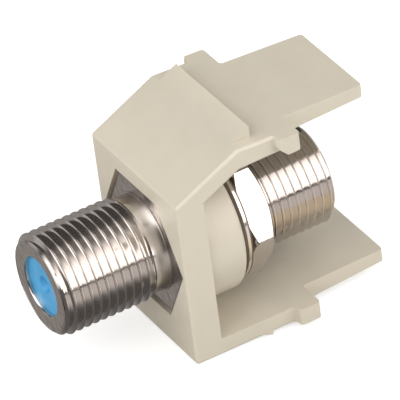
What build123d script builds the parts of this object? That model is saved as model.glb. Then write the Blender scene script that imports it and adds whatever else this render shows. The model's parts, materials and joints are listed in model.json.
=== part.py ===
from build123d import *
from math import radians, sqrt, tan
import os

# Snap-in insert with a double-ended coaxial coupler clamped in it.
# The coupler's axis is Y, the front port faces -Y, and z is up.
# The origin is on the axis, in the plane of the housing's front face.

# Thread of both ports, and the bare neck beside it
thread_pitch = 0.79375  # 32 turns to the inch
thread_d = 9.4  # over the crests
neck_d = 8.7
port_bevel = 0.53  # 45 degree bevel at each mouth
runout_turns = 0.65  # the thread fades into the neck over this share of a turn

# Coupler body along the axis
front_port = 10.35  # mouth to the flange's face
neck_length = 1.45
flange_thick = 2.2
rear_port = 14.15  # flange's back to the rear mouth
relief_length = 1.1  # bare neck behind the flange
flange_step = 0.85  # from the thread's crests out to the flats
flange_fillet = 0.3
cavity_d = 6.7
lip_thick = 0.45  # rolled lip that holds each insulator in
mouth_d = 5.4

# Insulators and the contact between them
insulator_length = 5.0
insulator_play = 0.02  # round it, each side
end_wall = 0.6  # plastic in front of the contact's tip
entry_d = 1.7  # funnel that guides the cable's centre wire
contact_d = 2.0
contact_bore_d = 1.1
contact_play = 0.02
slot_length = 4.0
slot_width = 0.25

# Housing's front frame and the boss behind it
housing_width = 14.4
frame_depth = 2.6
front_bottom = 8.95  # from the axis down to the underside
front_top = 7.4  # from the axis up to the front edge of the ramp
flange_recess = 0.25  # flange's face behind the front face
pocket_play = 0.28  # round the flange, each side
boss_lip = 0.5  # beyond the washer, all round
boss_length = 3.85
boss_round = 0.5
passage_play = 0.15  # round the coupler's thread

# Ramp, catch and the upper tongue
ramp_rise = 0.495  # rise for each mm towards the rear
ramp_length = 6.4
ramp_thick = 1.98  # measured straight down
catch_length = 8.32  # front face to the crest
catch_width = 12.0
root_thick = 2.0
tongue_tip_top = 10.0
tongue_tip_thick = 1.2
tongue_reach = 20.0

# Lower tongue and the ridge under it
floor_thick = 1.6
floor_extra = 0.2  # reach beyond the upper tongue
floor_tip_rise = 0.4
ridge_place = 6.9
ridge_width = 0.65
ridge_height = 0.25

# Plan of both tongues
ear_front = 9.95
ear_rear = 12.0
ear_out = 0.8  # beyond the housing's side
ear_cut = 0.75
tongue_width = 10.2
tongue_tip_width = 9.85
corner_round = 0.35
ear_hollow = 0.2  # hollow round where each ear leaves the side
edge_round = 0.3

# Washer and nut
washer_thick = 0.8
washer_band = 1.3  # width of the ring
washer_play = 0.15  # round the thread, each side
nut_wall = 0.8  # from the bore out to the flats
nut_thick = 2.5
nut_play = 0.05  # round the thread, each side
nut_mouth = 0.3  # bevel round the bore, both ends
nut_front_land = 0.1  # flat ring between the mouth and the outer bevel
nut_front_bevel = 15  # degrees
nut_rear_land = 0.4
nut_rear_bevel = 33
nut_turned = 1.2  # degrees that the tight nut stands off the housing's hexagon

# Places along the axis
flange_face = flange_recess
flange_back = flange_face + flange_thick
front_mouth = flange_face - front_port
rear_mouth = flange_back + rear_port
boss_back = frame_depth + boss_length
washer_back = boss_back + washer_thick

# Radii and heights that follow from the sizes above
runout = runout_turns * thread_pitch
thread_r = thread_d / 2
neck_r = neck_d / 2
cavity_r = cavity_d / 2
mouth_r = mouth_d / 2
passage_r = thread_r + passage_play
flange_flats = thread_d + 2 * flange_step
washer_bore_r = thread_r + washer_play
washer_r = washer_bore_r + washer_band
boss_r = washer_r + boss_lip
nut_bore_r = thread_r + nut_play
nut_flats = 2 * (nut_bore_r + nut_wall)
half_width = housing_width / 2
ear_half = half_width + ear_out
floor_top = floor_thick - front_bottom
ramp_end_top = front_top + ramp_rise * ramp_length
crest_top = front_top + ramp_rise * catch_length
floor_reach = tongue_reach + floor_extra
tongue_fall = (ramp_end_top - tongue_tip_top) / (tongue_reach - ramp_length)
corner_share = 2 / sqrt(3)  # a hexagon's corners over its flats

os.makedirs("parts", exist_ok=True)


# Plane square to the coupler's axis, looking to the rear
def across(place):
    return Plane(origin=(0, place, 0), x_dir=(1, 0, 0), z_dir=(0, 1, 0))


# Height of the upper tongue's top at a place along the axis
def tongue_top(place):
    return ramp_end_top - tongue_fall * (place - ramp_length)


# Housing: one moulding, its side view cut to its plan
under_slope = (tongue_tip_top - tongue_tip_thick - ramp_end_top + root_thick) / (tongue_reach - ramp_length)
under_start = ramp_end_top - root_thick - under_slope * ramp_length
ramp_under = front_top - ramp_thick
under_bend = (under_start - ramp_under) / (ramp_rise - under_slope)

side_view = [
    (0, -front_bottom),
    (ear_rear, -front_bottom),
    (floor_reach, floor_tip_rise - front_bottom),
    (floor_reach, floor_top),
    (frame_depth, floor_top),
    (frame_depth, ramp_under + ramp_rise * frame_depth),
    (under_bend, under_start + under_slope * under_bend),
    (tongue_reach, tongue_tip_top - tongue_tip_thick),
    (tongue_reach, tongue_tip_top),
    (ramp_length, ramp_end_top),
    (0, front_top),
]
ridge_view = [
    (ridge_place, edge_round - front_bottom),  # fills the rounded edge
    (ridge_place, -front_bottom),
    (ridge_place + ridge_width, -front_bottom - ridge_height),
    (ridge_place + ridge_width, edge_round - front_bottom),
]
ear_inner = half_width - edge_round  # ears start inside the rounded edge
ear_under = under_start + under_slope * ear_front
ear_views = [
    [
        (ear_front, -front_bottom),
        (ear_rear, -front_bottom),
        (ear_rear, floor_top),
        (ear_front, floor_top),
    ],
    [
        (ear_front, ear_under + ear_cut),
        (ear_front + ear_cut, ear_under + under_slope * ear_cut),
        (ear_rear, under_start + under_slope * ear_rear),
        (ear_rear, tongue_top(ear_rear)),
        (ear_front, tongue_top(ear_front)),
    ],
]
trim_view = [
    (tongue_width / 2, ear_rear),
    (ear_half, ear_rear),
    (ear_half, floor_reach),
    (tongue_tip_width / 2, floor_reach),
]
pocket_r = flange_flats / 2 + pocket_play

with BuildPart() as keystone_housing:
    with BuildSketch(Plane.YZ):
        with BuildLine():
            Polyline(*side_view, close=True)
        make_face()
    extrude(amount=half_width, both=True)
    front = edges().group_by(Axis.Y)[0]
    sides = [e for e in edges().filter_by(Plane.YZ) if abs(e.center().X) > half_width - 0.01]
    outer_sides = [e for e in sides if e.center().Z < -front_bottom + 0.3 or e.center().Z > front_top]
    fillet(front + [e for e in outer_sides if e.length > floor_thick], edge_round)
    for mirrored in (1, -1):
        with BuildSketch(Plane.XY.offset(-front_bottom)):
            with BuildLine():
                Polyline(*[(mirrored * x, y) for x, y in trim_view], close=True)
            make_face()
        extrude(amount=front_bottom + ramp_end_top, mode=Mode.SUBTRACT)
        for ear_view in ear_views:
            with BuildSketch(Plane.YZ.offset(mirrored * ear_inner)):
                with BuildLine():
                    Polyline(*ear_view, close=True)
                make_face()
            extrude(amount=mirrored * (ear_half - ear_inner))
        with BuildSketch(Plane.XY.offset(-front_bottom)):
            hollow_width = half_width + ear_hollow - ear_inner
            with Locations((mirrored * (ear_inner + hollow_width / 2), ear_front - ear_hollow / 2)):
                Rectangle(hollow_width, ear_hollow)
            with Locations((mirrored * (half_width + ear_hollow), ear_front - ear_hollow)):
                Circle(ear_hollow, mode=Mode.SUBTRACT)
        extrude(amount=floor_thick)
    upright = edges().filter_by(Axis.Z).filter_by_position(Axis.Y, ear_front, floor_reach)
    outer = [e for e in upright if abs(e.center().X) > half_width + ear_hollow + 0.01]
    tips = [e for e in upright if abs(e.center().X) < half_width - 0.01]
    fillet(outer + tips, corner_round)
    roots = edges().filter_by(Axis.Z).filter_by_position(Axis.Y, ear_front - 0.01, ear_front + 0.01)
    fillet([e for e in roots if e.center().Z > 0 and abs(abs(e.center().X) - half_width) < 0.01], ear_hollow)
    with BuildSketch(Plane.YZ):
        with BuildLine():
            Polyline(
                (ramp_length, ramp_end_top),
                (catch_length, crest_top),
                (catch_length, tongue_top(catch_length)),
                close=True,
            )
        make_face()
    extrude(amount=catch_width / 2, both=True)
    with BuildSketch(Plane.YZ):
        with BuildLine():
            Polyline(*ridge_view, close=True)
        make_face()
    extrude(amount=half_width, both=True)
    with BuildSketch(across(frame_depth)):
        Circle(boss_r)
    extrude(amount=boss_length)
    rim = edges().filter_by(GeomType.CIRCLE).filter_by_position(Axis.Y, boss_back - 0.01, boss_back + 0.01)
    fillet(rim, boss_round)
    with BuildSketch(across(0)):
        RegularPolygon(pocket_r, 6, major_radius=False)
    extrude(amount=flange_back, mode=Mode.SUBTRACT)
    with BuildSketch(across(0)):
        Circle(passage_r)
    extrude(amount=boss_back, mode=Mode.SUBTRACT)
keystone_housing.part.label = "keystone_housing"
export_step(keystone_housing.part, "parts/keystone_housing.step")

# Coupler body: a turned shell with a hexagon flange
shell_view = [
    (mouth_r, front_mouth),
    (thread_r - port_bevel, front_mouth),
    (thread_r, front_mouth + port_bevel),
    (thread_r, flange_face - neck_length - runout),
    (neck_r, flange_face - neck_length),
    (neck_r, flange_back + relief_length),
    (thread_r, flange_back + relief_length + runout),
    (thread_r, rear_mouth - port_bevel),
    (thread_r - port_bevel, rear_mouth),
    (mouth_r, rear_mouth),
    (mouth_r, rear_mouth - lip_thick),
    (cavity_r, rear_mouth - lip_thick),
    (cavity_r, front_mouth + lip_thick),
    (mouth_r, front_mouth + lip_thick),
]

with BuildPart() as coupler_shell:
    with BuildSketch(Plane.XY):
        with BuildLine():
            Polyline(*shell_view, close=True)
        make_face()
    revolve(axis=Axis.Y)
    with BuildSketch(across(flange_face)):
        RegularPolygon(flange_flats / 2, 6, major_radius=False)
        Circle((cavity_r + neck_r) / 2, mode=Mode.SUBTRACT)
    extrude(amount=flange_thick)
    root = edges().filter_by(GeomType.CIRCLE).filter_by_position(
        Axis.Y, flange_face - 0.01, flange_face + 0.01
    )
    fillet(root, flange_fillet)
coupler_shell.part.label = "coupler_shell"
export_step(coupler_shell.part, "parts/coupler_shell.step")

# Insulators: plugs held behind the rolled lips, each with a funnel for the cable's wire
insulator_r = cavity_r - insulator_play
socket_r = contact_d / 2 + contact_play


# Half section of an insulator, from its outer face inward
def insulator_view(outer_face, inward):
    return [
        (entry_d / 2, outer_face),
        (insulator_r, outer_face),
        (insulator_r, outer_face + inward * insulator_length),
        (socket_r, outer_face + inward * insulator_length),
        (socket_r, outer_face + inward * end_wall),
        (contact_bore_d / 2, outer_face + inward * end_wall),
    ]


with BuildPart() as front_insulator:
    with BuildSketch(Plane.XY):
        with BuildLine():
            Polyline(*insulator_view(front_mouth + lip_thick, 1), close=True)
        make_face()
    revolve(axis=Axis.Y)
front_insulator.part.label = "front_insulator"
export_step(front_insulator.part, "parts/front_insulator.step")

with BuildPart() as rear_insulator:
    with BuildSketch(Plane.XY):
        with BuildLine():
            Polyline(*insulator_view(rear_mouth - lip_thick, -1), close=True)
        make_face()
    revolve(axis=Axis.Y)
rear_insulator.part.label = "rear_insulator"
export_step(rear_insulator.part, "parts/rear_insulator.step")

# Contact: a tube between the two end walls, slotted into four fingers at each end
contact_front = front_mouth + lip_thick + end_wall
contact_rear = rear_mouth - lip_thick - end_wall

with BuildPart() as centre_contact:
    with BuildSketch(across(contact_front)):
        Circle(contact_d / 2)
        Circle(contact_bore_d / 2, mode=Mode.SUBTRACT)
    extrude(amount=contact_rear - contact_front)
    with BuildSketch(across(contact_front), across(contact_rear - slot_length)):
        Rectangle(contact_d + 1, slot_width)
        Rectangle(slot_width, contact_d + 1)
    extrude(amount=slot_length, mode=Mode.SUBTRACT)
centre_contact.part.label = "centre_contact"
export_step(centre_contact.part, "parts/centre_contact.step")

# Washer between the boss and the nut
with BuildPart() as washer:
    with BuildSketch(across(boss_back)):
        Circle(washer_r)
        Circle(washer_bore_r, mode=Mode.SUBTRACT)
    extrude(amount=washer_thick)
washer.part.label = "washer"
export_step(washer.part, "parts/washer.step")

# Nut: a hexagon cut to a bevelled round, with a bevelled bore
nut_front = washer_back
nut_rear = nut_front + nut_thick
nut_outer_r = nut_flats / 2 * corner_share + nut_mouth  # clear of the corners
nut_mouth_r = nut_bore_r + nut_mouth
nut_front_r = nut_mouth_r + nut_front_land
nut_rear_r = nut_mouth_r + nut_rear_land
round_view = [
    (nut_mouth_r, nut_front),
    (nut_front_r, nut_front),
    (nut_outer_r, nut_front + (nut_outer_r - nut_front_r) * tan(radians(nut_front_bevel))),
    (nut_outer_r, nut_rear - (nut_outer_r - nut_rear_r) * tan(radians(nut_rear_bevel))),
    (nut_rear_r, nut_rear),
    (nut_mouth_r, nut_rear),
    (nut_bore_r, nut_rear - nut_mouth),
    (nut_bore_r, nut_front + nut_mouth),
]

with BuildPart() as hex_nut:
    with BuildSketch(across(nut_front)):
        RegularPolygon(nut_flats / 2, 6, major_radius=False, rotation=nut_turned)
    extrude(amount=nut_thick)
    with BuildSketch(Plane.XY):
        with BuildLine():
            Polyline(*round_view, close=True)
        make_face()
    revolve(axis=Axis.Y, mode=Mode.INTERSECT)
hex_nut.part.label = "hex_nut"
export_step(hex_nut.part, "parts/hex_nut.step")
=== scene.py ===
import json
import math
import bpy
import bmesh
from mathutils import Matrix, Vector

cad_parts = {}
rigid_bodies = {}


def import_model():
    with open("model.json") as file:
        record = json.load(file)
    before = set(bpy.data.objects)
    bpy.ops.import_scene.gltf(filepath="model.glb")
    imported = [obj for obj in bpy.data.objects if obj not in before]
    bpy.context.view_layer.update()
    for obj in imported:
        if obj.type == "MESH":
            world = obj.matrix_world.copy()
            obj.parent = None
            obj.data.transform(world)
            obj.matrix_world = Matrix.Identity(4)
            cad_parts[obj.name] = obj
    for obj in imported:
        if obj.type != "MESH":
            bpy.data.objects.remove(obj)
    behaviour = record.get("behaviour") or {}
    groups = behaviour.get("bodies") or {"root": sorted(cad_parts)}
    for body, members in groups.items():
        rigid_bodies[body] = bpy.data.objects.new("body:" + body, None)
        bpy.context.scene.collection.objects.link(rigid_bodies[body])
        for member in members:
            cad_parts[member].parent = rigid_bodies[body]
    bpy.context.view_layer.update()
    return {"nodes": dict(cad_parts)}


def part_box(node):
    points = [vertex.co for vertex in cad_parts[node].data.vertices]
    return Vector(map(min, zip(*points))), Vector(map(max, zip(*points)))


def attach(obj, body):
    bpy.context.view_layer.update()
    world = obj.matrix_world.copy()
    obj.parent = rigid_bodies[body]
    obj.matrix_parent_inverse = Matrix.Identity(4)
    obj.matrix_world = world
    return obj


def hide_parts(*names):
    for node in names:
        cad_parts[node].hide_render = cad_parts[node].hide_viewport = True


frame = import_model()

mm = 0.001
print("frame loaded")


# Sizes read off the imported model, in mm
def reach(node):
    low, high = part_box(node)
    return [v / mm for v in low], [v / mm for v in high]


shellLow, shellHigh = reach("coupler_shell")
nutLow, nutHigh = reach("hex_nut")
washerLow, washerHigh = reach("washer")
frontPlugLow, frontPlugHigh = reach("front_insulator")
rearPlugLow, rearPlugHigh = reach("rear_insulator")
frontMouth, rearMouth = shellLow[1], shellHigh[1]


# sRGB hex to the linear colour that a shader socket takes
def hexColour(text):
    parts = [int(text[i:i + 2], 16) / 255 for i in (0, 2, 4)]
    return [c / 12.92 if c <= 0.04045 else ((c + 0.055) / 1.055) ** 2.4 for c in parts] + [1.0]


# Adds a node to any tree: settings are its properties, inputs are values or sockets to link
def addNode(tree, kind, inputs=None, **settings):
    node = tree.nodes.new(kind)
    for name, value in settings.items():
        setattr(node, name, value)
    for name, value in (inputs or {}).items():
        if isinstance(value, bpy.types.NodeSocket):
            tree.links.new(value, node.inputs[name])
        else:
            node.inputs[name].default_value = value
    return node


def mathNode(tree, operation, *values):
    return addNode(tree, "ShaderNodeMath", dict(enumerate(values)), operation=operation).outputs[0]


# Carries a value from one span to another, and stops at both ends
def mapSpan(tree, value, before=(0.0, 1.0), after=(0.0, 1.0)):
    return addNode(tree, "ShaderNodeMapRange", {
        "Value": value, "From Min": before[0], "From Max": before[1],
        "To Min": after[0], "To Max": after[1]}).outputs[0]


# Mixes two colours, each a hex text or a socket
def mixColours(tree, share, first, second):
    first, second = (hexColour(c) if isinstance(c, str) else c for c in (first, second))
    return addNode(tree, "ShaderNodeMixRGB", {
        "Fac": share, "Color1": first, "Color2": second}).outputs[0]


# Noise with features of about the given size in mm
def noiseNode(tree, place, size, detail=2.0):
    return addNode(tree, "ShaderNodeTexNoise", {
        "Vector": place, "Scale": 1 / (size * mm), "Detail": detail}).outputs["Fac"]


# Texture coordinates, the object's x, y and z, and the distance from the coupler's axis
def axisPlace(tree):
    place = addNode(tree, "ShaderNodeTexCoord").outputs
    spot = addNode(tree, "ShaderNodeSeparateXYZ", {0: place["Object"]}).outputs
    square = addNode(tree, "ShaderNodeCombineXYZ", {"X": spot["X"], "Z": spot["Z"]})
    radius = addNode(tree, "ShaderNodeVectorMath", {0: square.outputs[0]}, operation="LENGTH")
    return place, spot, radius.outputs["Value"]


def newMaterial(name):
    material = bpy.data.materials.new(name)
    material.use_nodes = True
    material.node_tree.nodes.clear()
    return material, material.node_tree


def finishMaterial(tree, shader):
    addNode(tree, "ShaderNodeOutputMaterial", {"Surface": shader.outputs[0]})


nickelLook = {
    "colour": "e1ddda",
    "shade": "d1ccc9",
    "roughness": 0.12,
    "softRoughness": 0.22,
    "softMiddle": 0.3,  # mm along the axis: neck and flange are polished less than the threads
    "softReach": 1.2,
    "softEdge": 0.3,
    "lineWidth": 0.045,  # mm, turning marks
    "lineDepth": 0.0005,
    "lineStrength": 0.35,
    "lineDrift": 0.00004,  # how far the marks change from one radian to the next
    "flatFacing": (0.93, 0.99),  # a face this square to the axis begins to count as flat, and does
    "scratched": "a0968e",  # in the scratches of the flat faces
    "scratchTurn": 57,  # degrees
    "scratchLength": 1.1,  # mm
    "scratchWidth": 0.09,
    "scratchCut": (0.42, 0.58),
    "scratchMetal": 0.85,
    "cloud": 1.6,  # mm, uneven plating
    "cloudSpan": (0.3, 0.7),
    "cloudRoughness": (0.8, 1.3),  # shares of the roughness
}


# Nickel plate over turned brass: a warm grey mirror, with fine marks round the axis
# and parallel scratches on the flat faces
def platedNickel(name, look):
    material, tree = newMaterial(name)
    place, spot, radius = axisPlace(tree)
    drift = mathNode(
        tree, "MULTIPLY", mathNode(tree, "ARCTAN2", spot["Z"], spot["X"]), look["lineDrift"])
    lathe = addNode(tree, "ShaderNodeCombineXYZ", {"X": radius, "Y": spot["Y"], "Z": drift})
    marks = noiseNode(tree, lathe.outputs[0], look["lineWidth"])
    bump = addNode(tree, "ShaderNodeBump", {
        "Height": marks, "Strength": look["lineStrength"], "Distance": look["lineDepth"] * mm})
    facing = addNode(tree, "ShaderNodeSeparateXYZ", {0: place["Normal"]})
    flat = mapSpan(tree, mathNode(tree, "ABSOLUTE", facing.outputs["Y"]), look["flatFacing"])
    length, width = look["scratchLength"] * mm, look["scratchWidth"] * mm
    across = addNode(tree, "ShaderNodeMapping", {
        "Vector": place["Object"], "Rotation": (0, math.radians(look["scratchTurn"]), 0),
        "Scale": (length, length, width)}, vector_type="TEXTURE")
    scratches = addNode(tree, "ShaderNodeTexNoise", {
        "Vector": across.outputs[0], "Scale": 1.0, "Detail": 2.0})
    deep = mapSpan(tree, scratches.outputs["Fac"], look["scratchCut"], (0.0, flat))
    metallic = mapSpan(tree, deep, after=(1.0, look["scratchMetal"]))
    cloud = noiseNode(tree, place["Object"], look["cloud"], 3.0)
    uneven = mapSpan(tree, cloud, look["cloudSpan"], look["cloudRoughness"])
    apart = mathNode(
        tree, "ABSOLUTE", mathNode(tree, "SUBTRACT", spot["Y"], look["softMiddle"] * mm))
    softSpan = (look["softReach"] * mm, (look["softReach"] + look["softEdge"]) * mm)
    polish = mapSpan(tree, apart, softSpan, (look["softRoughness"], look["roughness"]))
    tint = mixColours(tree, marks, look["colour"], look["shade"])
    finishMaterial(tree, addNode(tree, "ShaderNodeBsdfPrincipled", {
        "Base Color": mixColours(tree, deep, tint, look["scratched"]),
        "Metallic": metallic,
        "Roughness": mathNode(tree, "MULTIPLY", uneven, polish),
        "Normal": bump.outputs[0]}))
    return material


stampedLook = {
    "bright": "e1ddda",
    # dull finish, its brown a painted shade: the moulding mirrored in shade
    "dullPaintedShade": "6b6053",
    "roughness": 0.14,
    "dullRoughness": 0.45,
    "dullMetal": 0.5,
    "rimFade": (0.06, 0.03),  # mm inside the rim
    "grain": 0.35,  # mm
    "waver": 0.08,  # mm, of the line where the torn edge begins
    "tornLead": 0.06,
    "tornFade": 0.04,
    "cornerFade": 0.03,
}


# Plated sheet steel: the band that the punch burnished shines, the torn edge and the flat faces
# stay dull, in a brown painted shade that stands for the moulding mirrored in shade. The band lies
# at the rim, between two places along the axis
def stampedSteel(name, look, rim, brightFrom, brightTo):
    material, tree = newMaterial(name)
    place, spot, radius = axisPlace(tree)
    outside = mapSpan(tree, radius, [(rim - inside) * mm for inside in look["rimFade"]])
    grain = noiseNode(tree, place["Object"], look["grain"])
    edge = mathNode(
        tree, "MULTIPLY_ADD", grain, look["waver"] * mm, (brightFrom - look["tornLead"]) * mm)
    past = mathNode(tree, "SUBTRACT", spot["Y"], edge)
    cornerSpan = (brightTo * mm, (brightTo - look["cornerFade"]) * mm)
    ahead = mapSpan(tree, spot["Y"], cornerSpan, (0.0, outside))
    band = mapSpan(tree, past, (0.0, look["tornFade"] * mm), (0.0, ahead))
    # outside the band the colour is the brown painted shade
    finishMaterial(tree, addNode(tree, "ShaderNodeBsdfPrincipled", {
        "Base Color": mixColours(tree, band, look["dullPaintedShade"], look["bright"]),
        "Metallic": mapSpan(tree, band, after=(look["dullMetal"], 1.0)),
        "Roughness": mapSpan(tree, band, after=(look["dullRoughness"], look["roughness"]))}))
    return material


# Plastic that carries a little light under its skin
def plasticShader(tree, look, colour, roughness, bump):
    return addNode(tree, "ShaderNodeBsdfPrincipled", {
        "Base Color": colour, "Roughness": roughness, "IOR": look["ior"],
        "Subsurface Weight": look["under"], "Subsurface Radius": look["underReach"],
        "Subsurface Scale": look["underScale"] * mm, "Normal": bump.outputs[0]})


almondLook = {
    "colour": "d5ccbb",
    "shade": "cdc4b2",
    "roughness": 0.3,
    "mottle": 2.5,  # mm
    "mottleSpan": (0.3, 0.7),
    "mottleRoughness": (0.92, 1.08),  # shares of the roughness
    "grain": 0.12,  # mm, spark-eroded mould texture
    "grainDepth": 0.003,
    "grainStrength": 0.25,
    "ior": 1.5,
    "under": 0.12,
    "underReach": (0.6, 0.45, 0.25),
    "underScale": 0.8,  # mm
}


# ABS from an eroded mould: an even light almond with a soft sheen and the faintest grain
def mouldedAbs(name, look):
    material, tree = newMaterial(name)
    place = addNode(tree, "ShaderNodeTexCoord").outputs["Object"]
    mottle = noiseNode(tree, place, look["mottle"])
    grain = noiseNode(tree, place, look["grain"], 1.0)
    bump = addNode(tree, "ShaderNodeBump", {
        "Height": grain, "Strength": look["grainStrength"], "Distance": look["grainDepth"] * mm})
    ends = [look["roughness"] * share for share in look["mottleRoughness"]]
    finishMaterial(tree, plasticShader(
        tree, look, mixColours(tree, mottle, look["colour"], look["shade"]),
        mapSpan(tree, mottle, look["mottleSpan"], ends), bump))
    return material


blueLook = {
    "colour": "56a8d8",
    "shade": "4298ca",
    "roughness": 0.38,
    "cloud": 1.1,  # mm
    "cloudDepth": 0.05,
    "cloudStrength": 0.3,
    "ior": 1.51,
    "under": 0.3,
    "underReach": (0.2, 0.5, 1.0),
    "underScale": 0.6,  # mm
}


# Blue polyethylene plug: slightly waxy, with cloudy lighter and darker parts
def bluePolyethylene(name, look):
    material, tree = newMaterial(name)
    place = addNode(tree, "ShaderNodeTexCoord").outputs["Object"]
    cloud = noiseNode(tree, place, look["cloud"])
    bump = addNode(tree, "ShaderNodeBump", {
        "Height": cloud, "Strength": look["cloudStrength"], "Distance": look["cloudDepth"] * mm})
    finishMaterial(tree, plasticShader(
        tree, look, mixColours(tree, cloud, look["shade"], look["colour"]),
        look["roughness"], bump))
    return material


contactLook = {
    "colour": "c9a86a",
    "shade": "b39255",
    "roughness": 0.3,
    "streak": 0.06,  # mm
    "stretch": 0.05,  # share of the streaks' change that is left along the axis
}


# Spring bronze of the contact: yellower and duller than the nickel, streaked as it was drawn
def drawnBronze(name, look):
    material, tree = newMaterial(name)
    place = addNode(tree, "ShaderNodeTexCoord")
    drawn = addNode(tree, "ShaderNodeMapping", {
        "Vector": place.outputs["Object"], "Scale": (1.0, look["stretch"], 1.0)})
    streaks = noiseNode(tree, drawn.outputs[0], look["streak"])
    finishMaterial(tree, addNode(tree, "ShaderNodeBsdfPrincipled", {
        "Base Color": mixColours(tree, streaks, look["colour"], look["shade"]),
        "Metallic": 1.0, "Roughness": look["roughness"]}))
    return material


nickel = platedNickel("nickelPlateTurned", nickelLook)
almondAbs = mouldedAbs("almondAbsMoulded", almondLook)
bluePlastic = bluePolyethylene("bluePolyethylene", blueLook)
contactMetal = drawnBronze("tinnedBronzeDrawn", contactLook)
print("materials made")


def linkMesh(name, mesh, material):
    piece = bpy.data.objects.new(name, mesh)
    bpy.context.scene.collection.objects.link(piece)
    mesh.materials.clear()
    mesh.materials.append(material)
    return piece


# Smooth shading that stays crisp where two faces meet at more than the angle
def shadeByAngle(bm, degrees):
    for face in bm.faces:
        face.smooth = True
    for edge in bm.edges:
        edge.smooth = not (edge.is_manifold and edge.calc_face_angle(0) > math.radians(degrees))


# Radius of a hexagon with rounded corners, for an angle in radians
def hexRadius(angle, flats, corner, turn=0.0):
    side = math.radians(60)
    a = (angle - math.radians(turn)) % side - side / 2
    straight = flats / 2 / math.cos(a)
    centre = (flats / 2 - corner) / math.cos(side / 2)
    off = side / 2 - abs(a)
    under = corner ** 2 - (centre * math.sin(off)) ** 2
    if under <= 0:
        return straight
    rounded = centre * math.cos(off) + math.sqrt(under)
    return min(straight, rounded)


# Shape round the Y axis: each ring is (y, radius), and each of the two is a number
# or a function of the angle. Closed means that the last ring meets the first
def addTurned(bm, rings, segments, closed=True):
    loops = []
    for y, radius in rings:
        loop = []
        for i in range(segments):
            a = 2 * math.pi * i / segments
            r = radius(a) if callable(radius) else radius
            h = y(a) if callable(y) else y
            loop.append(bm.verts.new((r * math.cos(a) * mm, h * mm, r * math.sin(a) * mm)))
        loops.append(loop)
    pairs = list(zip(loops, loops[1:]))
    if closed:
        pairs.append((loops[-1], loops[0]))
    for one, two in pairs:
        for i in range(segments):
            j = (i + 1) % segments
            bm.faces.new((one[i], one[j], two[j], two[i]))


def turnedPiece(name, rings, material, segments, sharp):
    bm = bmesh.new()
    addTurned(bm, rings, segments)
    bmesh.ops.remove_doubles(bm, verts=bm.verts, dist=1e-7)
    bmesh.ops.recalc_face_normals(bm, faces=bm.faces)
    shadeByAngle(bm, sharp)
    mesh = bpy.data.meshes.new(name)
    bm.to_mesh(mesh)
    bm.free()
    return linkMesh(name, mesh, material)


# A small quarter round between two straight runs of a profile, as points
def roundCorner(before, corner, after, radius, steps=4):
    a = (Vector(before) - Vector(corner)).normalized()
    b = (Vector(after) - Vector(corner)).normalized()
    half = a.angle(b) / 2
    run = radius / math.tan(half)
    middle = Vector(corner) + (a + b).normalized() * (radius / math.sin(half))
    start = Vector(corner) + a * run
    finish = Vector(corner) + b * run
    points = []
    for i in range(steps + 1):
        t = i / steps
        spoke = (start - middle).lerp(finish - middle, t).normalized() * radius
        points.append(tuple(middle + spoke))
    return points


# Rounds every corner of a closed profile that has a radius
def roundProfile(corners):
    points = []
    count = len(corners)
    for i, (y, r, radius) in enumerate(corners):
        if radius:
            before = corners[(i - 1) % count][:2]
            after = corners[(i + 1) % count][:2]
            points += roundCorner(before, (y, r), after, radius)
        else:
            points.append((y, r))
    return points


threadLook = {
    "pitch": 0.79375,  # mm, 32 turns to the inch
    "crestRadius": 4.7,
    "rootRadius": 4.09,
    "crestShare": 0.05,  # of the pitch that is rounded on top
    "crestDrop": 0.011,
    "rootShare": 0.05,
    "around": 160,  # steps in a turn
    "samples": 16,  # columns in a pitch
}


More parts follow.
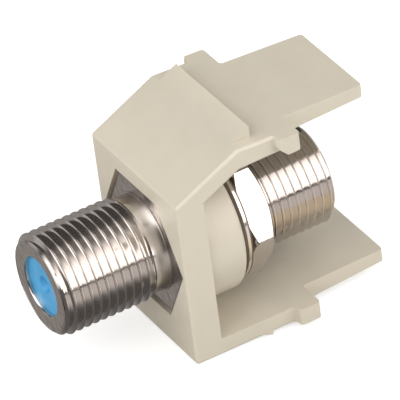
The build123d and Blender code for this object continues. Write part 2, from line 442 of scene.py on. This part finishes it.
# Tree that bends a flat grid into a helical thread between two cones
def threadTree(name):
    tree = bpy.data.node_groups.new(name, "GeometryNodeTree")
    sockets = {
        "Start": 0.0, "Finish": 1.0, "Pitch": 0.1, "Crest Radius": 1.0, "Root Radius": 0.9,
        "Crest Share": 0.1, "Crest Drop": 0.0, "Root Share": 0.2, "Crest At": 0.0,
        "First Column": 0.0, "Column Step": 0.01, "Start Radius": 1.0, "Start Slope": 1.0,
        "Finish Radius": 1.0, "Finish Slope": 1.0}
    tree.interface.new_socket("Geometry", in_out="OUTPUT", socket_type="NodeSocketGeometry")
    for label, value in sockets.items():
        socket = tree.interface.new_socket(
            label, in_out="INPUT", socket_type="NodeSocketFloat")
        socket.default_value = value
    for label in ("Around", "Columns"):
        socket = tree.interface.new_socket(label, in_out="INPUT", socket_type="NodeSocketInt")
        socket.default_value = 8
    tree.interface.new_socket("Material", in_out="INPUT", socket_type="NodeSocketMaterial")
    given = addNode(tree, "NodeGroupInput").outputs
    pitch, crestAt = given["Pitch"], given["Crest At"]

    def calc(operation, *values):
        return mathNode(tree, operation, *values)

    grid = addNode(tree, "GeometryNodeMeshGrid", {
        "Size X": 1.0, "Size Y": 1.0,
        "Vertices X": given["Around"], "Vertices Y": given["Columns"]})
    spot = addNode(tree, "GeometryNodeInputPosition")
    split = addNode(tree, "ShaderNodeSeparateXYZ", {0: spot.outputs[0]})
    turnShare = calc("ADD", split.outputs["X"], 0.5)
    along = calc("ADD", split.outputs["Y"], 0.5)
    # columns follow the helix, so that crests stay crisp, with a column on each edge
    # of crest and root
    index = calc("ROUND", calc("MULTIPLY", along, calc("SUBTRACT", given["Columns"], 1.0)))
    place = calc("MULTIPLY_ADD", index, given["Column Step"], given["First Column"])
    turns = calc("DIVIDE", calc("SUBTRACT", place, crestAt), pitch)
    share = calc("SUBTRACT", turns, calc("FLOOR", turns))
    wave = calc("PINGPONG", share, 0.5)
    step = calc("DIVIDE", given["Column Step"], pitch)
    crestEdge = calc("MULTIPLY", given["Crest Share"], 0.5)
    rootEdge = calc("SUBTRACT", 0.5, calc("MULTIPLY", given["Root Share"], 0.5))
    crestColumn = calc("MULTIPLY", step, 2.0)
    rootColumn = calc("SUBTRACT", 0.5, step)
    onCrest = calc("MULTIPLY", wave, calc("DIVIDE", crestEdge, crestColumn))
    onFlank = addNode(tree, "ShaderNodeMapRange", {
        "Value": wave, "From Min": crestColumn, "From Max": rootColumn,
        "To Min": crestEdge, "To Max": rootEdge}, clamp=False).outputs[0]
    rootScale = calc("DIVIDE", calc("SUBTRACT", 0.5, rootEdge), step)
    onRoot = calc("SUBTRACT", 0.5, calc("MULTIPLY", calc("SUBTRACT", 0.5, wave), rootScale))
    settled = calc("MINIMUM", calc("MAXIMUM", onCrest, onFlank), onRoot)
    side = calc("SIGN", calc("SUBTRACT", 0.5, share))
    shifted = calc("MULTIPLY", calc("SUBTRACT", settled, wave), side)
    straight = calc("MULTIPLY_ADD", shifted, pitch, place)
    # the helix moves each column along, and the ends are cut square
    slanted = calc("SUBTRACT", straight, calc("MULTIPLY", turnShare, pitch))
    height = calc("MINIMUM", calc("MAXIMUM", slanted, given["Start"]), given["Finish"])
    wound = calc("MULTIPLY_ADD", turnShare, pitch, height)
    turned = calc("DIVIDE", calc("SUBTRACT", wound, crestAt), pitch)
    fromCrest = calc("PINGPONG", turned, 0.5)
    crown = calc("MINIMUM", calc("DIVIDE", fromCrest, crestEdge), 1.0)
    flankTop = calc("SUBTRACT", given["Crest Radius"], given["Crest Drop"])
    rounded = calc("MULTIPLY", calc("MULTIPLY", crown, crown), given["Crest Drop"])
    flankHeight = calc("SUBTRACT", flankTop, given["Root Radius"])
    fall = mapSpan(tree, fromCrest, (crestEdge, rootEdge), (0.0, flankHeight))
    profile = calc("SUBTRACT", calc("SUBTRACT", given["Crest Radius"], rounded), fall)
    fromStart = calc("SUBTRACT", height, given["Start"])
    toFinish = calc("SUBTRACT", given["Finish"], height)
    startCone = calc("MULTIPLY_ADD", fromStart, given["Start Slope"], given["Start Radius"])
    finishCone = calc("MULTIPLY_ADD", toFinish, given["Finish Slope"], given["Finish Radius"])
    radius = calc("MINIMUM", calc("MINIMUM", profile, startCone), finishCone)
    angle = calc("MULTIPLY", turnShare, 2 * math.pi)
    point = addNode(tree, "ShaderNodeCombineXYZ", {
        "X": calc("MULTIPLY", radius, calc("COSINE", angle)),
        "Y": height,
        "Z": calc("MULTIPLY", radius, calc("SINE", angle))})
    bent = addNode(tree, "GeometryNodeSetPosition", {
        "Geometry": grid.outputs["Mesh"], "Position": point.outputs[0]})
    merged = addNode(tree, "GeometryNodeMergeByDistance", {
        "Geometry": bent.outputs[0], "Distance": 2e-7})
    real = addNode(tree, "GeometryNodeRealizeInstances", {"Geometry": merged.outputs[0]})
    painted = addNode(tree, "GeometryNodeSetMaterial", {
        "Geometry": real.outputs[0], "Material": given["Material"]})
    addNode(tree, "NodeGroupOutput", {"Geometry": painted.outputs[0]})
    return tree


# Runs the tree on an empty mesh and hands back the plain result
def runTree(name, tree, values):
    carrier = bpy.data.objects.new(name, bpy.data.meshes.new(name))
    bpy.context.scene.collection.objects.link(carrier)
    modifier = carrier.modifiers.new("thread", "NODES")
    modifier.node_group = tree
    names = {s.name: s.identifier for s in tree.interface.items_tree if s.in_out == "INPUT"}
    for label, value in values.items():
        modifier[names[label]] = value
    solved = carrier.evaluated_get(bpy.context.evaluated_depsgraph_get())
    mesh = bpy.data.meshes.new_from_object(solved)
    bpy.data.objects.remove(carrier)
    return mesh


helixTree = threadTree("threadForm")


# One port's thread: start and finish are (y, radius, slope of the cone that trims the end)
def threadMesh(name, start, finish, crestAt, look=threadLook):
    pitch = look["pitch"]
    step = pitch / look["samples"]
    first = crestAt + math.floor((start[0] - crestAt) / step) * step
    columns = math.ceil((finish[0] + pitch - first) / step) + 1
    return runTree(name, helixTree, {
        "Start": start[0] * mm, "Start Radius": start[1] * mm, "Start Slope": start[2],
        "Finish": finish[0] * mm, "Finish Radius": finish[1] * mm, "Finish Slope": finish[2],
        "Crest Radius": look["crestRadius"] * mm, "Root Radius": look["rootRadius"] * mm,
        "Crest Share": look["crestShare"], "Crest Drop": look["crestDrop"] * mm,
        "Root Share": look["rootShare"], "Pitch": pitch * mm, "Crest At": crestAt * mm,
        "First Column": first * mm, "Column Step": step * mm,
        "Around": look["around"] + 1, "Columns": columns, "Material": nickel})


couplerLook = {
    "ringRadius": 4.17,
    "ringInner": 3.1,
    "grooveAt": 0.09,  # from the ring's rim: a fine groove cut in the face
    "grooveHalf": 0.04,
    "grooveDepth": 0.04,
    "mouthRadius": 2.7,
    "lipRound": 0.22,
    "lip": 0.45,
    "cavityRadius": 3.35,
    "cavityDepth": 13.35,
    "neckRadius": 4.35,
    "neckStart": -1.2,
    "runout": 0.516,
    "flare": 0.1,  # the neck widens towards the flange
    "flareStart": -0.75,
    "bead": 0.07,  # tool mark where the neck meets the flange
    "beadSeat": 0.02,
    "flangeFace": 0.25,
    "flangeBack": 2.45,
    "flangeFlats": 11.1,
    "flangeCorner": 0.15,
    "flangeChamfer": 0.08,
    "relief": 1.1,
    "frontCrest": -8.43,
    "rearCrest": 8.0,
    "sharp": 32,  # degrees
}


# Neck, bead, flange and relief, from the front thread to the rear thread
def middleRings(look, rearStart):
    face, back, chamfer = look["flangeFace"], look["flangeBack"], look["flangeChamfer"]
    neck, bead = look["neckRadius"], look["bead"]
    hexAt = lambda a: hexRadius(a, look["flangeFlats"], look["flangeCorner"])
    hexIn = lambda a: hexAt(a) - chamfer
    rings = [(look["neckStart"], neck)]
    flareRun = face - 2 * bead - look["flareStart"]
    steps = 8
    for i in range(steps + 1):
        t = i / steps
        rings.append((look["flareStart"] + t * flareRun, neck + look["flare"] * t * t))
    beadFoot = neck + look["flare"]
    for i in range(7):
        t = math.radians(30 * i)
        rings.append((face - bead - bead * math.cos(t), beadFoot + bead * math.sin(t)))
    return rings + [
        (face, beadFoot + look["beadSeat"]), (face, hexIn), (face + chamfer, hexAt),
        (back - chamfer, hexAt), (back, hexIn), (back, neck), (rearStart, neck)]


# A mouth: face ring, rolled lip and the inside of the barrel
def mouthRings(look, mouth, inward):
    y = lambda depth: mouth + inward * depth
    groove = look["ringRadius"] - look["grooveAt"]
    half, lipRound = look["grooveHalf"], look["lipRound"]
    rings = [
        (y(0), look["ringRadius"]), (y(0), groove), (y(look["grooveDepth"]), groove - half),
        (y(0), groove - 2 * half), (y(0), look["ringInner"])]
    for i in range(7):
        t = math.radians(15 * i)
        rings.append((
            y(lipRound * (1 - math.cos(t))), look["mouthRadius"] + lipRound * (1 - math.sin(t))))
    return rings + [
        (y(look["lip"]), look["mouthRadius"]), (y(look["lip"]), look["cavityRadius"]),
        (y(look["cavityDepth"]), look["cavityRadius"])]


def makeCoupler(look):
    bm = bmesh.new()
    around = threadLook["around"]
    lastTurn = (threadLook["crestRadius"] - look["neckRadius"]) / look["runout"]
    rearStart = look["flangeBack"] + look["relief"]
    bm.from_mesh(threadMesh(
        "frontThread", (frontMouth, look["ringRadius"], 1.0),
        (look["neckStart"], look["neckRadius"], lastTurn), look["frontCrest"]))
    bm.from_mesh(threadMesh(
        "rearThread", (rearStart, look["neckRadius"], lastTurn),
        (rearMouth, look["ringRadius"], 1.0), look["rearCrest"]))
    addTurned(bm, middleRings(look, rearStart), around, closed=False)
    for mouth, inward in ((frontMouth, 1), (rearMouth, -1)):
        addTurned(bm, mouthRings(look, mouth, inward), around, closed=False)
    bmesh.ops.remove_doubles(bm, verts=bm.verts, dist=1e-6)
    bmesh.ops.recalc_face_normals(bm, faces=bm.faces)
    shadeByAngle(bm, look["sharp"])
    mesh = bpy.data.meshes.new("couplerBody")
    bm.to_mesh(mesh)
    openEdges = sum(1 for e in bm.edges if not e.is_manifold)
    bm.free()
    piece = linkMesh("couplerBody", mesh, nickel)
    print("coupler body:", len(mesh.polygons), "faces,", openEdges, "open edges")
    return piece


coupler = makeCoupler(couplerLook)
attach(coupler, "insert_body")
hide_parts("coupler_shell")


nutLook = {
    "flats": 11.1,
    "corner": 0.12,
    "turn": -1.2,  # degrees
    "bore": 4.75,
    "boreChamfer": 0.3,
    "frontLand": 5.6,
    "frontBevel": 30,
    "leastBevel": 0.06,  # mm of bevel that stays in the middle of each flat
    "rearLand": 5.45,
    "rearBevel": 33,
    "edge": 0.05,  # small rounds where the bevels meet the flats
    "edgeOnFlat": 0.04,
    "edgeOnFront": 0.015,
    "edgeOnRear": 0.025,
}


def makeNut(look):
    y0, y1 = nutLow[1], nutHigh[1]
    frontSlope = math.tan(math.radians(look["frontBevel"]))
    rearSlope = math.tan(math.radians(look["rearBevel"]))
    hexAt = lambda a: hexRadius(a, look["flats"], look["corner"], look["turn"])
    hexIn = lambda a: hexAt(a) - look["edge"]
    land = lambda a: min(look["frontLand"], hexAt(a) - look["corner"])
    frontEdge = lambda a: y0 + max(hexAt(a) - look["frontLand"], look["leastBevel"]) * frontSlope
    rearEdge = lambda a: y1 - (hexAt(a) - look["rearLand"]) * rearSlope
    bore, chamfer = look["bore"], look["boreChamfer"]
    rings = [
        (y0 + chamfer, bore), (y0, bore + chamfer), (y0, land),
        (lambda a: frontEdge(a) - look["edgeOnFront"], hexIn),
        (lambda a: frontEdge(a) + look["edgeOnFlat"], hexAt),
        (lambda a: rearEdge(a) - look["edgeOnFlat"], hexAt),
        (lambda a: rearEdge(a) + look["edgeOnRear"], hexIn),
        (y1, look["rearLand"]), (y1, bore + chamfer), (y1 - chamfer, bore)]
    return turnedPiece("clampNut", rings, nickel, segments=240, sharp=18)


nut = makeNut(nutLook)
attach(nut, "nut_body")
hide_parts("hex_nut")


washerLook = {
    "bore": 4.85,
    "edge": 0.05,
    "taper": 0.1,
    "torn": 0.38,  # mm from the front face to the widest place
    "rollover": 0.2,
    "tornRound": 0.1,
    "corner": 0.15,  # dull strip at the rear rim, in the same brown painted shade
}


def makeWasher(look):
    y0, y1 = washerLow[1], washerHigh[1]
    outer, edge, torn = washerHigh[0], look["edge"], washerLow[1] + look["torn"]
    plate = stampedSteel("nickelPlateStamped", stampedLook, outer, torn, y1 - look["corner"])
    corners = [
        (y0, look["bore"], edge), (y0, outer - look["taper"], look["rollover"]),
        (torn, outer, look["tornRound"]), (y1, outer, edge), (y1, look["bore"], edge)]
    return turnedPiece("flatWasher", roundProfile(corners), plate, segments=160, sharp=40)


washer = makeWasher(washerLook)
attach(washer, "washer_body")
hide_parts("washer")
print("nut and washer made")


plugLook = {"funnel": 0.85, "funnelRound": 0.08, "hole": 0.55, "wall": 0.6, "socket": 1.02}


# Plug from its outer face inwards: funnel, thin wall with the hole, and the contact's socket
def makePlug(name, outerFace, inward, length, radius, look):
    y = lambda depth: outerFace + inward * depth
    wall, socket = look["wall"], look["socket"]
    corners = [
        (y(0), radius, 0), (y(0), look["funnel"], look["funnelRound"]), (y(wall), look["hole"], 0),
        (y(wall), socket, 0), (y(length), socket, 0), (y(length), radius, 0)]
    return turnedPiece(name, roundProfile(corners), bluePlastic, segments=96, sharp=40)


frontPlug = makePlug(
    "frontPlug", frontPlugLow[1], 1, frontPlugHigh[1] - frontPlugLow[1], frontPlugHigh[0], plugLook)
rearPlug = makePlug(
    "rearPlug", rearPlugHigh[1], -1, rearPlugHigh[1] - rearPlugLow[1], rearPlugHigh[0], plugLook)
for plug, node in ((frontPlug, "front_insulator"), (rearPlug, "rear_insulator")):
    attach(plug, "insert_body")
    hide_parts(node)

contact = frame["nodes"]["centre_contact"]
for slot in contact.material_slots:
    slot.material = contactMetal
print("insulators and contact made")


housingLook = {"sharp": 30, "edge": 0.1}


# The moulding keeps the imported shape: a merged copy that takes soft edges and even shading
def makeHousing(look):
    mesh = frame["nodes"]["keystone_housing"].data.copy()
    mesh.name = "housingMoulding"
    bm = bmesh.new()
    bm.from_mesh(mesh)
    bmesh.ops.remove_doubles(bm, verts=bm.verts, dist=1e-6)
    bmesh.ops.dissolve_limit(bm, angle_limit=math.radians(1), verts=bm.verts, edges=bm.edges)
    shadeByAngle(bm, look["sharp"])
    bm.to_mesh(mesh)
    bm.free()
    piece = linkMesh("housingMoulding", mesh, almondAbs)
    soft = piece.modifiers.new("softEdges", "BEVEL")
    soft.width = look["edge"] * mm
    soft.segments = 2
    soft.limit_method = "ANGLE"
    soft.angle_limit = math.radians(look["sharp"])
    weigh = piece.modifiers.new("evenShading", "WEIGHTED_NORMAL")
    weigh.keep_sharp = True
    return piece


housing = makeHousing(housingLook)
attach(housing, "insert_body")
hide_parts("keystone_housing")
print("housing made")


floorLook = {
    "colour": "d4d4d2",
    "span": 0.6,  # metres
    "contactSlope": -0.0457,
    "contactHeight": -8.937,  # mm
    "glow": 0.6,  # what the camera sees on top of the lit paper
    "glowMirrored": 0.25,  # share of the glow that reflections see
}


# Height of the floor at a place along the coupler's axis, in metres: the housing leans a little
# on its ridge
def floorHeight(y, look=floorLook):
    return look["contactHeight"] * mm + look["contactSlope"] * y


def makeFloor(look):
    bm = bmesh.new()
    half = look["span"]
    for x, y in ((-half, -half), (half, -half), (half, half), (-half, half)):
        bm.verts.new((x, y, floorHeight(y)))
    bm.faces.new(bm.verts)
    mesh = bpy.data.meshes.new("floor")
    bm.to_mesh(mesh)
    bm.free()
    material, tree = newMaterial("paleFloor")
    rays = addNode(tree, "ShaderNodeLightPath").outputs
    seen = addNode(tree, "ShaderNodeMath", {
        0: rays["Is Glossy Ray"], 1: look["glowMirrored"], 2: rays["Is Camera Ray"]},
        operation="MULTIPLY_ADD", use_clamp=True)
    paper = addNode(tree, "ShaderNodeBsdfDiffuse", {"Color": hexColour(look["colour"])})
    glow = addNode(tree, "ShaderNodeEmission", {"Color": (1, 1, 1, 1), "Strength": look["glow"]})
    both = addNode(tree, "ShaderNodeAddShader", {0: paper.outputs[0], 1: glow.outputs[0]})
    finishMaterial(tree, addNode(tree, "ShaderNodeMixShader", {
        0: seen.outputs[0], 1: paper.outputs[0], 2: both.outputs[0]}))
    linkMesh("floor", mesh, material)


makeFloor(floorLook)


lampLook = {
    # name: (direction from the object, distance, width and height in mm, brightness)
    "rightSoftbox": ((0.70, 0.58, 0.50), 300, 310, 210, 2.15),
    "frontSoftbox": ((0.22, -0.76, 0.55), 320, 390, 350, 1.98),
}


# The lamps light the object; the dome below shows the metal their soft faces.
# Brightness is that of a lamp's face, with white as 1
def makeLamps(look):
    for name, (direction, distance, width, height, brightness) in look.items():
        light = bpy.data.lights.new(name, "AREA")
        light.shape = "RECTANGLE"
        light.size, light.size_y = width * mm, height * mm
        light.energy = brightness * math.pi * light.size * light.size_y
        lamp = bpy.data.objects.new(name, light)
        bpy.context.scene.collection.objects.link(lamp)
        away = Vector(direction).normalized()
        lamp.location = away * distance * mm
        lamp.rotation_euler = away.to_track_quat("Z", "Y").to_euler()
        lamp.visible_camera = False
        lamp.visible_glossy = False


makeLamps(lampLook)


studioLook = {
    # greys with white as 1; bearings from +X towards +Y and heights above the horizon in degrees
    "reach": 200,  # mm
    "tint": "fff8f3",
    "warmTint": "ffecce",
    "dark": 0.09,
    "sideBearings": (2, 14, 56, 100),  # softbox at the right: fades in, full, full, fades out
    "sideHeights": (2.0, 2.8, 32, 72),
    "sideGrey": 2.9,
    # three round soft spots: direction, full and no brightness in degrees from it, grey
    "topSpot": ((0.14, -0.35, 0.93), (18, 36), 2.2),
    "frontSpot": ((0.08, -0.91, 0.36), (12, 32), 1.9),
    "leftSpot": ((-0.74, -0.65, 0.18), (8, 26), 0.45),  # gives the frame's edges light lines
    "ceilingHeights": (58, 75),
    "ceilingGrey": 0.9,
    "tableGrey": 0.13,
    "tableRight": (50, 0.8),  # bearing and grey that it adds
    "tableRightFade": (-0.2, 0.5),  # cosines of the bearing from it
    "tableLeft": (205, 0.2),
    "tableLeftFade": (0.2, 0.8),
    "tableShadow": (9, 21),  # painted shadow of the object: mm from the origin, where the right side fades in
    "tableLift": 0.03,  # mm above the floor
    "warmBearing": (58, 22, 34),  # middle and half widths of the warm part of the table
    "warmEnd": (29, 31),  # mm
}


# 0 below the first value, 1 above the second, and smooth between
def fadeIn(value, first, second):
    t = min(max((value - first) / (second - first), 0), 1)
    return t * t * (3 - 2 * t)


# Point of a sphere round the origin, for a bearing and a height in radians
def dome(bearing, height, radius=1.0):
    level = radius * math.cos(height)
    return Vector((
        level * math.cos(bearing), level * math.sin(bearing), radius * math.sin(height)))


# Grey of the studio in a direction, as the metal mirrors it
def domeGrey(bearing, height, look):
    toward = dome(bearing, height)
    turn, lift = math.degrees(bearing), math.degrees(height)
    b, h = look["sideBearings"], look["sideHeights"]
    side = fadeIn(turn, b[0], b[1]) * (1 - fadeIn(turn, b[2], b[3]))
    side *= fadeIn(lift, h[0], h[1]) * (1 - fadeIn(lift, h[2], h[3]))
    grey = look["dark"] + look["sideGrey"] * side
    grey += look["ceilingGrey"] * fadeIn(lift, *look["ceilingHeights"])
    for spot in ("topSpot", "frontSpot", "leftSpot"):
        centre, spread, spotGrey = look[spot]
        off = math.degrees(toward.angle(Vector(centre)))
        grey += spotGrey * (1 - fadeIn(off, *spread))
    return grey


# Grey of the table round the object: painted floor light, bright to the right and behind, dim to
# the front and left, with the object's painted shadow close round it
def tableGrey(bearing, radius, look):
    rightBearing, rightGrey = look["tableRight"]
    leftBearing, leftGrey = look["tableLeft"]
    right = fadeIn(math.cos(bearing - math.radians(rightBearing)), *look["tableRightFade"])
    left = fadeIn(math.cos(bearing - math.radians(leftBearing)), *look["tableLeftFade"])
    shadow = fadeIn(radius, *look["tableShadow"])
    return look["tableGrey"] + leftGrey * left + rightGrey * right * shadow


# Share of the painted warm bounce that the almond moulding throws on the table behind it
def tableWarmth(bearing, radius, look):
    middle, full, none = look["warmBearing"]
    aside = abs(math.degrees(bearing) - middle)
    return (1 - fadeIn(aside, full, none)) * (1 - fadeIn(radius, *look["warmEnd"]))


# Surface between closed rings of points (place, grey, share of the warm tint)
def makeStudioCard(name, rings, material):
    bm = bmesh.new()
    loops = [[bm.verts.new(spot) for spot, grey, warm in ring] for ring in rings]
    for one, two in zip(loops, loops[1:]):
        for i in range(len(one)):
            j = (i + 1) % len(one)
            bm.faces.new((one[i], one[j], two[j], two[i]))
    mesh = bpy.data.meshes.new(name)
    bm.to_mesh(mesh)
    bm.free()
    greys = [grey for ring in rings for spot, grey, warm in ring]
    warmths = [warm for ring in rings for spot, grey, warm in ring]
    mesh.attributes.new("shade", "FLOAT", "POINT").data.foreach_set("value", greys)
    mesh.attributes.new("warmth", "FLOAT", "POINT").data.foreach_set("value", warmths)
    card = linkMesh(name, mesh, material)
    card.visible_camera = False
    card.visible_shadow = False
    card.visible_diffuse = False


# A dark studio that only reflections show: a dome with glowing softbox faces and spots, and a table
# top painted with the floor's light, the object's painted shadow and a painted warm bounce from the
# moulding
def makeStudio(look):
    material, tree = newMaterial("studioGrey")
    shade = addNode(tree, "ShaderNodeAttribute", attribute_name="shade")
    warmth = addNode(tree, "ShaderNodeAttribute", attribute_name="warmth")
    tint = mixColours(tree, warmth.outputs["Fac"], look["tint"], look["warmTint"])
    finishMaterial(tree, addNode(tree, "ShaderNodeEmission", {
        "Color": tint, "Strength": shade.outputs["Fac"]}))
    bearings = [math.radians(2 * i) - math.pi for i in range(180)]
    # rows lie closer where the grey changes fast
    heights = [math.radians(lift) for lift in [-4, 1.9, 2.9] + list(range(4, 88, 3)) + [89.9]]
    radii = [0.1] + list(range(6, 28, 2)) + [27.5, 29, 30, 31, 33, 60, look["reach"]]
    rings = [
        [(dome(b, h, look["reach"] * mm), domeGrey(b, h, look), 0.0) for b in bearings]
        for h in heights]
    makeStudioCard("studioDome", rings, material)
    rings = []
    for radius in radii:
        ring = []
        for b in bearings:
            x, y = radius * math.cos(b) * mm, radius * math.sin(b) * mm
            spot = (x, y, floorHeight(y) + look["tableLift"] * mm)
            ring.append((spot, tableGrey(b, radius, look), tableWarmth(b, radius, look)))
        rings.append(ring)
    makeStudioCard("studioTable", rings, material)


makeStudio(studioLook)


worldLook = {"seen": 1.0, "light": 0.54}


# White for the camera, reflections and what shows through, and softer as light on the object
def makeWorld(look):
    world = bpy.data.worlds.new("studio")
    bpy.context.scene.world = world
    world.use_nodes = True
    tree = world.node_tree
    tree.nodes.clear()
    rays = addNode(tree, "ShaderNodeLightPath").outputs
    direct = mathNode(tree, "MAXIMUM", rays["Is Camera Ray"], rays["Is Glossy Ray"])
    seen = mathNode(tree, "MAXIMUM", direct, rays["Is Transmission Ray"])
    soft, white = (addNode(tree, "ShaderNodeBackground", {
        "Color": (1, 1, 1, 1), "Strength": look[k]}) for k in ("light", "seen"))
    mixed = addNode(tree, "ShaderNodeMixShader", {
        0: seen, 1: soft.outputs[0], 2: white.outputs[0]})
    addNode(tree, "ShaderNodeOutputWorld", {"Surface": mixed.outputs[0]})


makeWorld(worldLook)


cameraLook = {
    "frame": 400,  # pixels across the picture
    "focal": 5784.0,  # pixels
    "sensor": 36,  # mm
    "distance": 490.58,  # mm, from the origin
    "originAt": (143.0, 242.0),  # pixel that the origin falls on
    "right": (0.4998, 0.8584, -0.1156),
    "down": (0.4595, -0.3760, -0.8047),
    "ahead": (-0.7342, 0.3490, -0.5824),
}


# The camera looks along the ray through the picture's centre, so it needs no shift
def makeCamera(look):
    right, down, ahead = (Vector(look[k]).normalized() for k in ("right", "down", "ahead"))
    place = -ahead * look["distance"] * mm
    half = look["frame"] / 2
    aim = (ahead * look["focal"] + right * (half - look["originAt"][0])
           + down * (half - look["originAt"][1])).normalized()
    side = (right - aim * right.dot(aim)).normalized()
    up = side.cross(aim)
    data = bpy.data.cameras.new("photoCamera")
    data.sensor_width = look["sensor"]
    data.lens = look["focal"] / look["frame"] * look["sensor"]
    data.clip_start, data.clip_end = 0.05, 5
    camera = bpy.data.objects.new("photoCamera", data)
    bpy.context.scene.collection.objects.link(camera)
    turn = Matrix((side, up, -aim)).transposed().to_4x4()
    camera.matrix_world = Matrix.Translation(place) @ turn
    bpy.context.scene.camera = camera


makeCamera(cameraLook)
bpy.context.scene.view_settings.view_transform = "Standard"
print("stage set")
